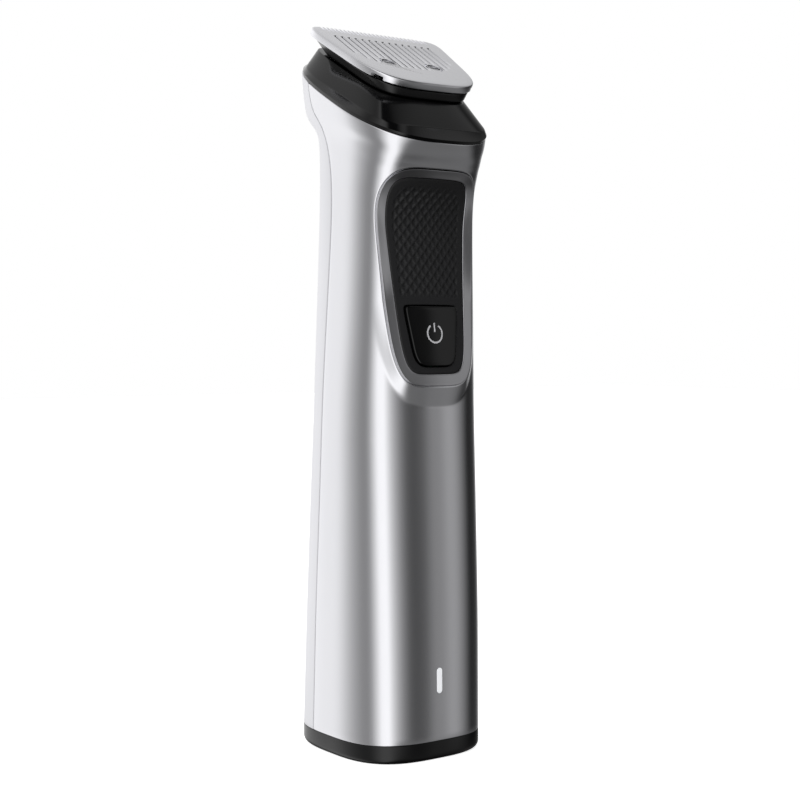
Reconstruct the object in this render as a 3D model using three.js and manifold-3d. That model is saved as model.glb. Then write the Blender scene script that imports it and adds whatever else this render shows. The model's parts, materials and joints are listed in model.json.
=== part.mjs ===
// A cordless beard trimmer: two-part silver handle, grip panel with a power button, and a
// tilted snap-on trimming head whose cutter is swung sideways by a motor-driven eccentric.
// Millimetres. +Z is up, -Y is the front of the handle, +X is the trimmer's left-right width.
// The origin is on the surface that the base stands on, below the middle of the handle.

import * as THREE from 'three';
import { mergeVertices } from 'three/addons/utils/BufferGeometryUtils.js';
import { ConvexGeometry } from 'three/addons/geometries/ConvexGeometry.js';
import Module from 'manifold-3d';

const wasm = await Module();
wasm.setup();

// ---------------------------------------------------------------- driving dimensions

const GAP = 0.3; // clearance between pieces that touch on the real object
const WALL = 1.6; // thickness of the two handle shells
const AROUND = 32; // facets round a section of the handle or head

// The handle's cross-sections, bottom to top. Each is a superellipse in a plane that runs from
// the front line to the back line, so the last ones lean forward and end in the sloping rim.
// [front z, front y, back z, back y, half width, exponent]
const SECTIONS = [
  [4.5, -18.4, 4.5, 19.5, 17.7, 3.0],
  [20, -18.2, 20, 18.6, 17.65, 3.0],
  [33, -17.95, 33, 17.8, 17.6, 3.0],
  [56, -17.2, 56, 16.3, 17.35, 3.0],
  [79, -16.45, 79, 14.8, 17.0, 3.0],
  [102, -16.1, 102, 13.6, 16.2, 3.3],
  [118, -16.0, 121, 12.8, 15.8, 3.4],
  [125, -16.35, 132, 12.4, 15.9, 3.4],
  [129.5, -17.4, 139, 12.4, 16.2, 3.4],
  [131.8, -18.4, 142.5, 13.7, 16.4, 3.4],
  [133.6, -19.4, 146.2, 17.7, 16.85, 3.3],
  [135, -20.1, 150.5, 19.2, 17.7, 3.05],
  [136.2, -20.75, 158.6, 20.75, 18.5, 2.8],
];
const LAST = SECTIONS.length - 1;
const LIP_LEVEL = 4; // the section below the raised lip, and the height up to the next one
const LIP_SPAN = SECTIONS[LIP_LEVEL + 1][0] - SECTIONS[LIP_LEVEL][0];
const LIP_TOP = 108;
const RIM = SECTIONS[LAST];
const BASE_HEIGHT = SECTIONS[0][0];

// Seam between the front and back shells, seen from the side: [y, z].
const SEAM = [[6.6, 0], [5.3, 33], [4.0, 60], [2.7, 95], [1.1, 128], [3.4, 140.6], [7.2, 149], [8, 175]];

// The head's own frame: its z axis is square to the sloping rim.
const HEAD_TILT = Math.atan2(RIM[2] - RIM[0], RIM[3] - RIM[1]);
const HEAD_ORIGIN = new THREE.Vector3(0, (RIM[1] + RIM[3]) / 2, (RIM[0] + RIM[2]) / 2);
const RIM_DEPTH = Math.hypot(RIM[2] - RIM[0], RIM[3] - RIM[1]) / 2;

// The blades' own frame, which leans a little further forward inside the head's frame.
const BLADE_PITCH = THREE.MathUtils.degToRad(2.9);
const BLADE_ORIGIN = new THREE.Vector3(0, 0.5, -0.29);

// Rounded outlines: centre and half height along the second axis, half width at the centre,
// its growth towards the far end, and the corner exponents of the far and near ends.
const BEZEL_OUTLINE = { centre: 107.1, half: 23.7, width: 12.5, taper: 1.8, far: 5, near: 5 };
const GRIP_OUTLINE = { centre: 107.5, half: 21.5, width: 9.9, taper: 1.6, far: 7, near: 6.5 };
const LIP_OUTLINE = { centre: 107.1, half: 28.6, width: 14.4, taper: 1.2, far: 5, near: 3.2 };
const BUTTON_OUTLINE = { centre: 94.4, half: 6.6, width: 6.3, taper: 0.95, far: 14, near: 5 };
const WINDOW_FLANGE = { centre: 18.1, half: 4.6, width: 2.2, taper: 0, far: 4, near: 4 };
const PLATE_OUTLINE = { centre: 0.85, half: 14.5, width: 16.3, taper: 2.1, far: 9, near: 3.5 };
const COLLAR_OUTLINE = { centre: 2.6, half: 16.2, width: 13.3, taper: 0.2, far: 6, near: 4 };
const HOUSING_BASE = { centre: 1, half: 14.3, width: 13.1, taper: 0.1, far: 7, near: 4 };
const HOUSING_DECK = { centre: 0.6, half: 14, width: 15.5, taper: 1.8, far: 9, near: 3.5 };
const THROAT_OUTLINE = { centre: 1.2, half: 12.4, width: 11.6, taper: 0.3, far: 6, near: 4 };

// Head heights above the rim plane.
const COLLAR_BAND = 2;
const COLLAR_TOP = 5.8;
const TRAY_FLOOR = 7.2;
const HOUSING_TOP = 9.1;
const PLATE_TOP = 11;
const PLATE_THICKNESS = 0.6;
const FLANGE_DEPTH = 1.6;
const CUTTER_THICKNESS = 0.6;
const CUTTER_TOP = PLATE_TOP - PLATE_THICKNESS - GAP;
const BLADE_SCREW = { x: 6.35, y: -2.8 };
const SCREW_CLEARANCE = 2.5;
const SLOTS = 15;
const SLOT_PITCH = 1.87;
const SLOT_WIDTH = 0.6;
const SLOT_BACK = 10.1;
const GUARD_TEETH = 22;
const GUARD_TOOTH_PITCH = 1.3;
const CUTTER_TEETH = 18;
const CUTTER_TOOTH_PITCH = 1.45;

// Drive train, all on one vertical axis.
const MOTOR_Y = 1.5;
const MOTOR_BOTTOM = 102;
const MOTOR_TOP = 134;
const MOTOR_SCREW_X = 7;
const SHAFT_RADIUS = 1;
const ECCENTRICITY = 0.8;
const PIN_RADIUS = 0.8;
const CUTTER_STROKE = 0.8; // each way
const CAM_BOTTOM = 143;
const CAM_TOP = 146;
const PIN_TOP = 152.5;

const BATTERY_Y = 3.2;
const BATTERY_RADIUS = 9.15;
const BATTERY_BOTTOM = 15.5;
const BATTERY_TOP = 80.5;
const SPINE_FRONT = -7.9;
const BOARD_FRONT = -10.3;
const WINDOW = { z: 18.1, radius: 0.8, height: 6 };

// ---------------------------------------------------------------- solids and cuts

const X = new THREE.Vector3(1, 0, 0);
const Y = new THREE.Vector3(0, 1, 0);
const Z = new THREE.Vector3(0, 0, 1);
const XZ_PLANE = new THREE.Matrix4().makeBasis(X, Z, Y.clone().negate());
const YZ_PLANE = new THREE.Matrix4().makeBasis(Y, Z, X);
const HEAD_MATRIX = new THREE.Matrix4().makeRotationX(HEAD_TILT).setPosition(HEAD_ORIGIN);
const BLADE_MATRIX = new THREE.Matrix4().makeRotationX(BLADE_PITCH).setPosition(BLADE_ORIGIN);

function solid(geometry) {
  const bare = geometry.index ? geometry.toNonIndexed() : geometry.clone();
  bare.deleteAttribute('normal');
  bare.deleteAttribute('uv');
  const merged = mergeVertices(bare, 1e-4);
  const index = merged.index.array;
  const faces = [];
  for (let i = 0; i < index.length; i += 3) {
    const [a, b, c] = [index[i], index[i + 1], index[i + 2]];
    if (a !== b && b !== c && c !== a) faces.push(a, b, c);
  }
  const vertProperties = new Float32Array(merged.attributes.position.array);
  const triVerts = new Uint32Array(faces);
  return new wasm.Manifold(new wasm.Mesh({ numProp: 3, vertProperties, triVerts }));
}

function geometryOf(body) {
  const mesh = body.getMesh();
  const geometry = new THREE.BufferGeometry();
  geometry.setAttribute('position', new THREE.Float32BufferAttribute(mesh.vertProperties, 3));
  geometry.setIndex([...mesh.triVerts]);
  return geometry;
}

function moved(body, matrix) {
  return solid(geometryOf(body).applyMatrix4(matrix));
}

function intoHead(body) {
  return moved(body, HEAD_MATRIX.clone().invert());
}

// A closed skin over rings of equal point count, listed bottom to top, anticlockwise from above.
function loft(rings) {
  const count = rings[0].length;
  const points = rings.flat();
  const faces = [];
  for (let r = 0; r + 1 < rings.length; r += 1) {
    for (let i = 0; i < count; i += 1) {
      const a = r * count + i;
      const b = r * count + ((i + 1) % count);
      faces.push(a, b, b + count, a, b + count, a + count);
    }
  }
  const top = (rings.length - 1) * count;
  for (let i = 1; i + 1 < count; i += 1) {
    faces.push(0, i + 1, i, top, top + i, top + i + 1);
  }
  const geometry = new THREE.BufferGeometry().setFromPoints(points);
  geometry.setIndex(faces);
  return solid(geometry);
}

function box(x0, x1, y0, y1, z0, z1) {
  const geometry = new THREE.BoxGeometry(x1 - x0, y1 - y0, z1 - z0);
  return solid(geometry.translate((x0 + x1) / 2, (y0 + y1) / 2, (z0 + z1) / 2));
}

// An upright round bar.
function bar(radius, x, y, z0, z1, facets = 20) {
  return turned([[0, z0], [radius, z0], [radius, z1], [0, z1]], x, y, facets);
}

// A box on one side of the mirror plane, between two distances from it.
function sideBox(side, x0, x1, y0, y1, z0, z1) {
  const ends = [side * x0, side * x1];
  return box(Math.min(...ends), Math.max(...ends), y0, y1, z0, z1);
}

// A profile of [radius, height] points turned about an upright axis.
function turned(profile, x, y, facets = 20) {
  const geometry = new THREE.LatheGeometry(profile.map(([r, z]) => new THREE.Vector2(r, z)), facets);
  return solid(geometry.rotateX(Math.PI / 2).translate(x, y, 0));
}

const power = (value, exponent) => Math.sign(value) * Math.abs(value) ** exponent;

// ---------------------------------------------------------------- handle sections

// Catmull-Rom blend of the listed sections, so that u = 4.5 is halfway from 4 to 5.
function sectionAt(u) {
  const i = Math.min(Math.floor(u), LAST - 1);
  const f = u - i;
  const rows = [-1, 0, 1, 2].map((k) => SECTIONS[Math.min(Math.max(i + k, 0), LAST)]);
  return rows[0].map((_, k) => {
    const [p, q, r, s] = rows.map((row) => row[k]);
    const square = (2 * p - 5 * q + 4 * r - s) * f ** 2;
    const cube = (3 * q - p - 3 * r + s) * f ** 3;
    return 0.5 * (2 * q + (r - p) * f + square + cube);
  });
}

// One closed ring of a section, shrunk by inset and shifted along the handle by lift.
function sectionRing([frontZ, frontY, backZ, backY, halfWidth, exponent], inset, lift = 0) {
  const depth = Math.hypot(backZ - frontZ, backY - frontY);
  const along = [(backY - frontY) / depth, (backZ - frontZ) / depth];
  const middle = [(frontY + backY) / 2 - along[1] * lift, (frontZ + backZ) / 2 + along[0] * lift];
  return Array.from({ length: AROUND }, (_, i) => {
    const angle = (i / AROUND) * 2 * Math.PI;
    const across = (halfWidth - inset) * power(Math.cos(angle), 2 / exponent);
    const back = (depth / 2 - inset) * power(Math.sin(angle), 2 / exponent);
    return new THREE.Vector3(across, middle[0] + along[0] * back, middle[1] + along[1] * back);
  });
}

// The handle's outer form shrunk by inset, reaching past its two ends by overrun.
const OUTSIDE_LEVELS = [0, 1, 2, 3, 4, 5, 6, 7, 8, 8.5, 9, 9.5, 10, 10.5, 11, 11.5, 12];
const INSIDE_LEVELS = [0, 2, 4, 6, 7, 8, 9, 10, 11, 12];
const NECK_LEVELS = [8, 9, 10, 11, 12];

function handleForm(inset, overrun = 0, levels = INSIDE_LEVELS) {
  const rings = levels.map((u) => sectionRing(sectionAt(u), inset));
  if (overrun) {
    rings.unshift(sectionRing(sectionAt(levels[0]), inset, -overrun));
    rings.push(sectionRing(RIM, inset, overrun));
  }
  return loft(rings);
}

// A stack of base sections: [height, inset] pairs.
function baseForm(levels) {
  return loft(levels.map(([z, inset]) => sectionRing(SECTIONS[0], inset, z - BASE_HEIGHT)));
}

// ---------------------------------------------------------------- outlines

function outline(shape, offset = 0, facets = AROUND) {
  const raw = Array.from({ length: facets }, (_, i) => {
    const angle = (i / facets) * 2 * Math.PI;
    const exponent = Math.sin(angle) > 0 ? shape.far : shape.near;
    const v = power(Math.sin(angle), 2 / exponent);
    const halfWidth = shape.width + shape.taper * v;
    const across = halfWidth * power(Math.cos(angle), 2 / exponent);
    return new THREE.Vector2(across, shape.centre + shape.half * v);
  });
  return raw.map((point, i) => {
    const before = raw[(i + facets - 1) % facets];
    const after = raw[(i + 1) % facets];
    const normal = new THREE.Vector2(after.y - before.y, before.x - after.x).normalize();
    return point.clone().addScaledVector(normal, offset);
  });
}

// A front-view outline pushed from y0 back to y1.
function frontPrism(points, y0, y1) {
  const shape = new THREE.Shape(points);
  const geometry = new THREE.ExtrudeGeometry(shape, { depth: y1 - y0, bevelEnabled: false });
  return solid(geometry.applyMatrix4(XZ_PLANE).translate(0, y1, 0));
}

// A head-plan outline at one height above the rim plane.
function headRing(shape, z, offset = 0) {
  return outline(shape, offset).map((p) => new THREE.Vector3(p.x, p.y, z));
}

// ---------------------------------------------------------------- the scooped grip recess

// The recess runs from proud of the handle at the bottom to sunk below it at the top, then
// curves forward under the flare. It is slightly crowned from side to side.
function recessY(x, z) {
  const up = z - 88;
  const curl = Math.max(0, z - 117) ** 2;
  const scoop = -17 + 0.163 * up - 0.00149 * up ** 2 - 0.0265 * curl;
  return scoop + x ** 2 * (1 + 0.008 * curl) / 160;
}

const RECESS_HEIGHTS = [76, 83, 90, 98, 106, 114, 120, 124, 127, 129, 131, 133];
const RECESS_WIDTHS = [-16, -10.7, -5.3, 0, 5.3, 10.7, 16];

// The layer between two depths below the recess surface.
function recessLayer(front, back) {
  return loft(RECESS_HEIGHTS.map((z) => {
    const near = RECESS_WIDTHS.map((x) => new THREE.Vector3(x, recessY(x, z) + front, z));
    const far = RECESS_WIDTHS.map((x) => new THREE.Vector3(x, recessY(x, z) + back, z));
    return [...near, ...far.reverse()];
  }));
}

// ---------------------------------------------------------------- handle pieces

// Everything behind the seam between the shells, moved back by shift.
function behindSeam(shift) {
  const points = SEAM.map(([y, z]) => new THREE.Vector3(0, y, z));
  const curve = new THREE.CatmullRomCurve3(points, false, 'centripetal');
  const line = curve.getPoints(22).map((p) => new THREE.Vector2(p.y + shift, p.z));
  const corners = [new THREE.Vector2(40, 175), new THREE.Vector2(40, 0)];
  const shape = new THREE.Shape([...corners, ...line]);
  const geometry = new THREE.ExtrudeGeometry(shape, { depth: 60, bevelEnabled: false });
  return solid(geometry.translate(0, 0, -30).applyMatrix4(YZ_PLANE));
}

// The front of the handle's outer form at one height and distance across.
function handleFrontY(x, z) {
  const section = sectionAt(LIP_LEVEL + (z - SECTIONS[LIP_LEVEL][0]) / LIP_SPAN);
  const middle = (section[1] + section[3]) / 2;
  const reach = (section[3] - section[1]) / 2;
  const share = 1 - Math.min(1, Math.abs(x / section[4])) ** section[5];
  return middle - reach * share ** (1 / section[5]);
}

// The raised lip under the panel, from a crescent on the handle up to the recess edge.
function lip() {
  const points = [];
  for (const { x, y: z } of outline(BEZEL_OUTLINE, 0.5)) {
    if (z < LIP_TOP) points.push(new THREE.Vector3(x, Math.min(recessY(x, z), -12), z));
  }
  for (const { x, y: z } of outline(LIP_OUTLINE)) {
    if (z > LIP_TOP) continue;
    points.push(new THREE.Vector3(x, handleFrontY(x, z) + 0.05, z));
    points.push(new THREE.Vector3(x * 0.8, -12.5, z));
  }
  return solid(new ConvexGeometry(points));
}

const outerForm = handleForm(0, 0, OUTSIDE_LEVELS);
const bezelHole = frontPrism(outline(BEZEL_OUTLINE), -25, -4);

function shellTube() {
  return outerForm.subtract(handleForm(WALL, 3));
}

function windowPrism(grow, y0, y1) {
  const straight = WINDOW.height / 2 - WINDOW.radius;
  const shape = new THREE.Shape();
  shape.absarc(0, WINDOW.z + straight, WINDOW.radius + grow, 0, Math.PI);
  shape.absarc(0, WINDOW.z - straight, WINDOW.radius + grow, Math.PI, 2 * Math.PI);
  return frontPrism(shape.getPoints(6), y0, y1);
}

function frontShell() {
  const pocket = frontPrism(outline(BEZEL_OUTLINE, 1.1), -25, -4).intersect(outerForm);
  return shellTube()
    .subtract(behindSeam(-GAP / 2))
    .add(pocket.intersect(recessLayer(-9, 1.8)))
    .add(lip().subtract(handleForm(WALL)))
    .subtract(bezelHole)
    .subtract(windowPrism(GAP, -25, -10));
}

function backShell() {
  return shellTube().intersect(behindSeam(GAP / 2));
}

function panelBezel() {
  return recessLayer(0, 2.4)
    .intersect(frontPrism(outline(BEZEL_OUTLINE, -GAP), -25, -4))
    .subtract(frontPrism(outline(GRIP_OUTLINE), -25, -4));
}

function gripPanel() {
  return recessLayer(0.15, 2.4)
    .intersect(frontPrism(outline(GRIP_OUTLINE, -GAP), -25, -4))
    .subtract(frontPrism(outline(BUTTON_OUTLINE, GAP), -25, -4));
}

// The button's cap with the plunger that reaches back towards the switch on the board.
function powerButton() {
  const cap = recessLayer(-0.45, 1.9).intersect(frontPrism(outline(BUTTON_OUTLINE), -25, -4));
  return cap.add(box(-1.5, 1.5, -15.5, -13, BUTTON_OUTLINE.centre - 1.5, BUTTON_OUTLINE.centre + 1.5));
}

function lightWindow() {
  const face = windowPrism(0, -25, -12.4).intersect(outerForm);
  return face.add(frontPrism(outline(WINDOW_FLANGE, 0, 16), -16.2, -12.4));
}

// The caps at both ends reach into the handle with a spigot and a groove for a sealing ring.
const SPIGOT_INSET = WALL + 0.35;
const BASE_SPIGOT_INSET = WALL + 0.65;
const GROOVE_DEPTH = 1.2;

function baseCap() {
  const form = baseForm([[0, 2.5], [0.5, 1.3], [1.3, 0.45], [2.6, 0], [BASE_HEIGHT - GAP, 0]]);
  const spigot = baseForm([[3, BASE_SPIGOT_INSET], [9, BASE_SPIGOT_INSET]]);
  const grooveFloor = BASE_SPIGOT_INSET + GROOVE_DEPTH;
  const groove = baseForm([[5.4, 1], [7.4, 1]]).subtract(baseForm([[5, grooveFloor], [8, grooveFloor]]));
  const hollow = baseForm([[2.4, 4.8], [10, 4.8]]);
  const boss = box(-7.5, 7.5, -6, 6, 2, 9);
  return form
    .add(spigot)
    .subtract(groove)
    .subtract(hollow)
    .add(boss)
    .subtract(box(-5.4, 5.4, -3.9, 3.9, -1, 12));
}

function baseSeal() {
  const inner = BASE_SPIGOT_INSET + GROOVE_DEPTH - GAP;
  const ring = baseForm([[5.7, BASE_SPIGOT_INSET], [7.1, BASE_SPIGOT_INSET]]);
  return ring.subtract(baseForm([[5, inner], [8, inner]]));
}

const SOCKET_PIN_X = 2;

function chargingSocket() {
  let body = box(-5.1, 5.1, -3.6, 3.6, 0.5, 10.3).subtract(box(-4.1, 4.1, -2.6, 2.6, -1, 8.9));
  for (const side of [-1, 1]) body = body.subtract(bar(1.05, side * SOCKET_PIN_X, 0, 8, 11, 12));
  return body;
}

const socketPin = (side) => bar(0.7, side * SOCKET_PIN_X, 0, 4.9, 12, 12);

// ---------------------------------------------------------------- inner pieces of the handle

// The plastic spine that carries the board in front, and the battery and motor behind.
function chassis() {
  const back = SPINE_FRONT + 1.2;
  return box(-10.5, 10.5, SPINE_FRONT, back, 12.8, 136)
    .add(box(-10.5, 10.5, back - 0.1, 10, 12.8, 14.5))
    .add(box(-9, 9, back - 0.1, 9, 81.2, 83.2))
    .add(box(-9, 9, back - 0.1, 9, 98.6, 100.6))
    .add(box(-10.5, 10.5, back - 0.1, 8.2, MOTOR_TOP + GAP, 136.2))
    .subtract(bar(3.4, 0, MOTOR_Y, 133, 138, 24))
    .subtract(bar(1.3, -MOTOR_SCREW_X, MOTOR_Y, 133, 138, 12))
    .subtract(bar(1.3, MOTOR_SCREW_X, MOTOR_Y, 133, 138, 12));
}

function motorCan() {
  const profile = [
    [0, MOTOR_BOTTOM],
    [8.6, MOTOR_BOTTOM],
    [10, MOTOR_BOTTOM + 1.2],
    [10, MOTOR_TOP],
    [0, MOTOR_TOP],
  ];
  const flats = box(-11, 11, MOTOR_Y - 7.6, MOTOR_Y + 7.6, 100, 140);
  let body = turned(profile, 0, MOTOR_Y, 32).intersect(flats);
  body = body.subtract(bar(SHAFT_RADIUS + GAP, 0, MOTOR_Y, MOTOR_TOP - 8, 136, 20));
  for (const side of [-1, 1]) {
    body = body.subtract(bar(1.3, side * MOTOR_SCREW_X, MOTOR_Y, MOTOR_TOP - 3, 136, 12));
  }
  return body;
}

// A slotted screw with its head resting on z and its shank hanging below.
function screw(x, y, z, headRadius, headHeight, shankRadius, shankLength) {
  const top = z + headHeight;
  const shank = bar(shankRadius, x, y, z - shankLength, z + 0.1, 12);
  const slot = box(x - headRadius, x + headRadius, y - 0.22, y + 0.22, top - 0.4, top + 1);
  return bar(headRadius, x, y, z, top).add(shank).subtract(slot);
}

const motorScrew = (side) => screw(side * MOTOR_SCREW_X, MOTOR_Y, 136.5, 1.9, 1.2, 1.0, 4.5);

// A rubber boot in the bracket's hole that keeps hair and water away from the motor.
function shaftSeal() {
  const bore = SHAFT_RADIUS + 0.35;
  const profile = [[bore, 134.6], [3.0, 134.6], [3.0, 136.8], [2.6, 138.2], [1.9, 140], [bore, 140]];
  return turned([...profile, profile[0]], 0, MOTOR_Y, 20);
}

const motorShaft = () => bar(SHAFT_RADIUS, 0, MOTOR_Y, MOTOR_TOP - 7.6, CAM_BOTTOM + 2, 16);

function eccentricCam() {
  return bar(3.7, 0, MOTOR_Y, CAM_BOTTOM, CAM_TOP, 24)
    .add(bar(PIN_RADIUS, 0, MOTOR_Y - ECCENTRICITY, CAM_TOP - 0.1, PIN_TOP, 16))
    .subtract(bar(SHAFT_RADIUS + GAP, 0, MOTOR_Y, CAM_BOTTOM - 1, CAM_BOTTOM + 2 + GAP, 16));
}

function batteryCell() {
  const length = BATTERY_TOP - BATTERY_BOTTOM;
  const profile = [
    [0, 0],
    [8.4, 0],
    [BATTERY_RADIUS, 0.8],
    [BATTERY_RADIUS, length - 1],
    [8.4, length - 0.4],
    [3, length - 0.4],
    [3, length],
    [0, length],
  ];
  return turned(profile.map(([r, z]) => [r, z + BATTERY_BOTTOM]), 0, BATTERY_Y, 28);
}

// Nickel strips from the cell's two ends, forward past the spine's side to the board.
function batteryTab(z, side) {
  const y = BATTERY_Y + 1.5;
  return sideBox(side, 11.1, 11.5, -9.6, y, z, z + 4)
    .add(sideBox(side, 0, 11.2, y - 3, y, z, z + 0.25));
}

const circuitBoard = () => box(-9.5, 9.5, BOARD_FRONT, BOARD_FRONT + 1.2, 13, 101);

function tactSwitch() {
  return box(-3, 3, -12.4, BOARD_FRONT - GAP, BUTTON_OUTLINE.centre - 3, BUTTON_OUTLINE.centre + 3);
}

const statusLed = () => box(-0.8, 0.8, -11.9, BOARD_FRONT - GAP, WINDOW.z - 1.5, WINDOW.z + 1.5);
const controlChip = () => box(-3, 3, -12, BOARD_FRONT - GAP, 52, 57);

// ---------------------------------------------------------------- head pieces, in the head's frame

const RIM_OUTLINE = { centre: 0, half: RIM_DEPTH, width: RIM[4], taper: 0, far: RIM[5], near: RIM[5] };
const BAND_OUTLINE = { centre: 0, half: 19.3, width: 16.7, taper: 1.4, far: 3.5, near: 7.4 };
const SPIGOT_BOTTOM = -5;

// The handle's inside between two head heights, shrunk by inset from its outer form.
function collarBand(z0, z1, inset) {
  return box(-30, 30, -40, 40, z0, z1).intersect(intoHead(handleForm(inset, 4, NECK_LEVELS)));
}

function headCollar() {
  const visible = loft([
    headRing(RIM_OUTLINE, GAP),
    headRing(BAND_OUTLINE, COLLAR_BAND),
    headRing(COLLAR_OUTLINE, COLLAR_TOP),
  ]);
  const groove = collarBand(-3.6, -1.6, 0.5).subtract(collarBand(-4, -1, SPIGOT_INSET + GROOVE_DEPTH));
  return visible
    .add(collarBand(SPIGOT_BOTTOM, 1, SPIGOT_INSET))
    .subtract(groove)
    .subtract(collarBand(SPIGOT_BOTTOM - 1, -0.6, SPIGOT_INSET + 2.25))
    .subtract(loft([headRing(THROAT_OUTLINE, -8), headRing(THROAT_OUTLINE, 8)]));
}

function collarSeal() {
  const inner = collarBand(-4, -1, SPIGOT_INSET + GROOVE_DEPTH - GAP);
  return collarBand(-3.3, -1.9, SPIGOT_INSET).subtract(inner);
}

// Leaf clips on the throat's side walls that grip the head's skirt.
const headClip = (side) => sideBox(side, 10.85, 11.2, -2, 6, -4.5, 4.6);

// The black body of the head: a skirt that plugs into the collar, a deck for the fixed blade's
// screws in front, and a tray for the cutter's carrier behind it.
function headHousing() {
  const deck = headRing(HOUSING_DECK, HOUSING_TOP).map((p) => p.applyMatrix4(BLADE_MATRIX));
  const body = loft([headRing(HOUSING_BASE, COLLAR_TOP + GAP), deck]);
  const throatPlug = (inset, z0, z1) => loft([
    headRing(THROAT_OUTLINE, z0, -inset),
    headRing(THROAT_OUTLINE, z1, -inset),
  ]);
  let housing = body
    .add(throatPlug(1.15, -1, COLLAR_TOP + 1))
    .subtract(throatPlug(2.6, -2, TRAY_FLOOR + 0.5))
    .subtract(moved(box(-10.8, 10.8, -0.4, 11.2, TRAY_FLOOR, 12), BLADE_MATRIX));
  for (const side of [-1, 1]) {
    const bore = bar(1.1, side * BLADE_SCREW.x, BLADE_SCREW.y, 6, 12, 12);
    housing = housing.subtract(moved(bore, BLADE_MATRIX));
  }
  return housing;
}

// Where the comb slot at x starts: on an arc that bends round the two screws.
function slotFront(x) {
  const arc = -4.8 + 5.5 * Math.abs(x / 13.2) ** 4;
  const aside = Math.abs(Math.abs(x) - BLADE_SCREW.x);
  const clear = SCREW_CLEARANCE ** 2 - aside ** 2;
  return clear > 0 ? Math.max(arc, BLADE_SCREW.y + Math.sqrt(clear)) : arc;
}

// The fixed blade: a pressed steel plate with a turned-down flange, long comb slots and fine
// teeth along its back edge.
function guardBlade() {
  const bottom = PLATE_TOP - PLATE_THICKNESS;
  let body = loft([
    headRing(PLATE_OUTLINE, PLATE_TOP - FLANGE_DEPTH, -0.05),
    headRing(PLATE_OUTLINE, PLATE_TOP - 0.4),
    headRing(PLATE_OUTLINE, PLATE_TOP, -0.4),
  ]);
  body = body.subtract(loft([headRing(PLATE_OUTLINE, 8, -0.8), headRing(PLATE_OUTLINE, bottom, -0.8)]));
  body = body.subtract(box(-14.8, 14.8, 12.4, 20, 8, bottom));
  for (const side of [-1, 1]) {
    body = body.subtract(sideBox(side, 11.8, 18, -11.5, -8.5, 8, PLATE_TOP - 0.7));
    body = body.subtract(bar(1.7, side * BLADE_SCREW.x, BLADE_SCREW.y, 8, 12, 16));
  }
  for (let i = 0; i < SLOTS; i += 1) {
    const x = (i - (SLOTS - 1) / 2) * SLOT_PITCH;
    const start = slotFront(x);
    body = body.subtract(box(x - SLOT_WIDTH / 2, x + SLOT_WIDTH / 2, start, SLOT_BACK, 8, 12));
  }
  for (let i = 0; i < GUARD_TEETH; i += 1) {
    const x = (i - (GUARD_TEETH - 1) / 2) * GUARD_TOOTH_PITCH;
    body = body.subtract(box(x - 0.3, x + 0.3, 12.8, 20, 8, 12));
  }
  return body;
}

function bladeScrew(side) {
  return screw(side * BLADE_SCREW.x, BLADE_SCREW.y, PLATE_TOP - 0.75, 1.35, 0.55, 0.8, 2.4);
}

// The moving blade: a flat steel comb that slides under the fixed one.
function cutterBlade() {
  let body = box(-13.3, 13.3, 0.4, 14.4, CUTTER_TOP - CUTTER_THICKNESS, CUTTER_TOP);
  for (let i = 0; i < CUTTER_TEETH; i += 1) {
    const x = (i - (CUTTER_TEETH - 1) / 2) * CUTTER_TOOTH_PITCH;
    body = body.subtract(box(x - 0.36, x + 0.36, 11.2, 20, 8, 12));
  }
  return body;
}

// The plastic carrier under the moving blade. Its fork stands astride the eccentric pin, wide
// enough for the pin's circle and the cutter's stroke together.
function cutterCarrier() {
  const top = CUTTER_TOP - CUTTER_THICKNESS - GAP;
  const inner = ECCENTRICITY + PIN_RADIUS + CUTTER_STROKE + GAP;
  let body = box(-9, 9, 0.9, 9.6, top - 1.6, top);
  for (const side of [-1, 1]) {
    body = body.add(sideBox(side, inner, inner + 1.5, 1, 6.4, -0.4, top - 1));
  }
  return body;
}

// A bent steel wire that starts at the housing's front wall and presses the carrier up against
// the fixed blade, behind the fork.
function bladeSpring() {
  const left = [[-5.9, -7.1, 5], [-7.3, -2, 5.6], [-7.3, 5, 6.4], [-6.6, 7.9, 6.85], [-4, 8.3, 6.9]];
  const right = left.map(([x, y, z]) => [-x, y, z]).reverse();
  const points = [...left, ...right].map((p) => new THREE.Vector3(...p));
  const extrudePath = new THREE.CatmullRomCurve3(points, false, 'centripetal');
  const section = new THREE.Shape().absarc(0, 0, 0.35, 0, 2 * Math.PI);
  return solid(new THREE.ExtrudeGeometry(section, { steps: 24, curveSegments: 4, extrudePath }));
}

// ---------------------------------------------------------------- materials and assembly

const FINISHES = {
  steel_shell: [0xc9cacd, 0.28, 1.0],
  silver_plastic: [0xd9dadc, 0.4, 0.6],
  satin_grey: [0x77787c, 0.4, 0.8],
  soft_black: [0x1b1b1d, 0.75, 0.0],
  gloss_black: [0x0a0a0b, 0.12, 0.0],
  satin_black: [0x1d1d1f, 0.45, 0.0],
  inner_plastic: [0x3a3c40, 0.7, 0.0],
  blade_steel: [0xb9babc, 0.3, 1.0],
  plain_steel: [0xa2a4a8, 0.35, 1.0],
  seal_rubber: [0x2c2d2f, 0.9, 0.0],
  light_pipe: [0xf4f6f8, 0.3, 0.0],
  cell_wrap: [0x2f6f9f, 0.45, 0.0],
  nickel: [0xc8c2b4, 0.35, 1.0],
  board_green: [0x1f5a37, 0.6, 0.0],
  brass: [0xb59a55, 0.35, 1.0],
};

function piece(name, body, finish) {
  const [color, roughness, metalness] = FINISHES[finish];
  const material = new THREE.MeshStandardMaterial({ color, roughness, metalness });
  const mesh = new THREE.Mesh(geometryOf(body), material);
  mesh.name = name;
  return mesh;
}

const trimmer = new THREE.Group();

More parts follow.
